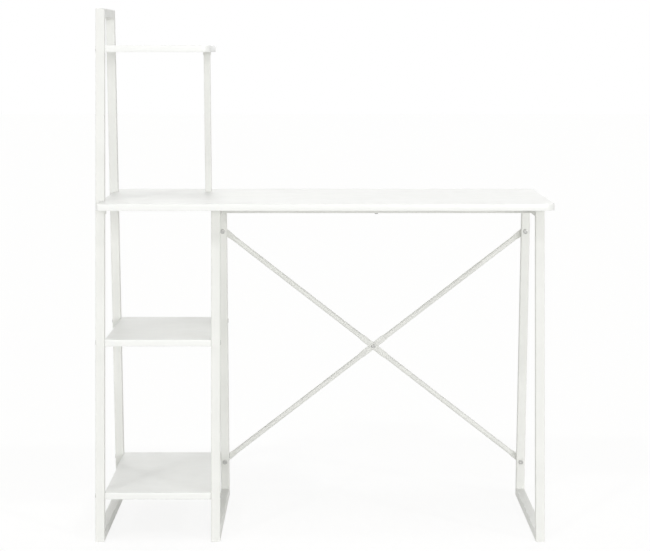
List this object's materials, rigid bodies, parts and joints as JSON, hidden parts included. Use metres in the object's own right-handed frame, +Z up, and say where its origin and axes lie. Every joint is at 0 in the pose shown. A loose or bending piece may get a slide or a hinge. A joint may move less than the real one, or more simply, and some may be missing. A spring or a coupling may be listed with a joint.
{
  "type": "computer desk",
  "caption": "Computer desk with a writing board, a tall open shelf tower at its left end, trapezoid square-tube side frames and a crossed rod brace behind the knee space.",
  "frame": {"origin": "on the floor, in the middle of the desk's plan", "axes": "+Z up, +Y from the desk's front to its back, +X from the shelf tower's end to the other end"},
  "size_m": [1.0112, 0.5, 1.175],
  "materials": {
    "frame_paint": "white powder coat, satin, fine orange peel",
    "board": "white melamine on particle board, fine matt texture",
    "edge_band": "white edge band, satin",
    "plug_plastic": "white moulded plug",
    "fastener_steel": "bright zinc-plated steel"
  },
  "bodies": {
    "root": {"left_frame_front_post": "frame_paint", "left_frame_rear_post": "frame_paint", "left_frame_top_bar": "frame_paint", "left_frame_foot_bar": "frame_paint", "middle_frame_front_post": "frame_paint", "middle_frame_rear_post": "frame_paint", "middle_frame_top_bar": "frame_paint", "middle_frame_foot_bar": "frame_paint", "right_frame_front_post": "frame_paint", "right_frame_rear_post": "frame_paint", "right_frame_top_bar": "frame_paint", "right_frame_foot_bar": "frame_paint", "desktop": "board", "desktop_edge_band": "edge_band", "lower_shelf": "board", "lower_shelf_edge_band": "edge_band", "middle_shelf": "board", "middle_shelf_edge_band": "edge_band", "top_shelf": "board", "top_shelf_edge_band": "edge_band", "left_front_desk_bracket": "frame_paint", "left_rear_desk_bracket": "frame_paint", "under_desk_front_rail": "frame_paint", "under_desk_rear_rail": "frame_paint", "rail_end_plugs": "plug_plastic", "rail_bolts": "fastener_steel", "shelf_post": "frame_paint", "shelf_post_collar": "frame_paint", "shelf_post_foot_plug": "plug_plastic", "shelf_post_head_plug": "plug_plastic", "shelf_post_bolts": "fastener_steel", "brace_bar_rear": "frame_paint", "brace_bar_front": "frame_paint", "brace_centre_bolt": "fastener_steel", "brace_centre_nut": "fastener_steel", "brace_end_bolts": "fastener_steel", "brace_end_nuts": "fastener_steel", "shelf_bolts": "fastener_steel", "shelf_inserts": "fastener_steel", "desktop_screws": "fastener_steel"}
  },
  "joints": []
}
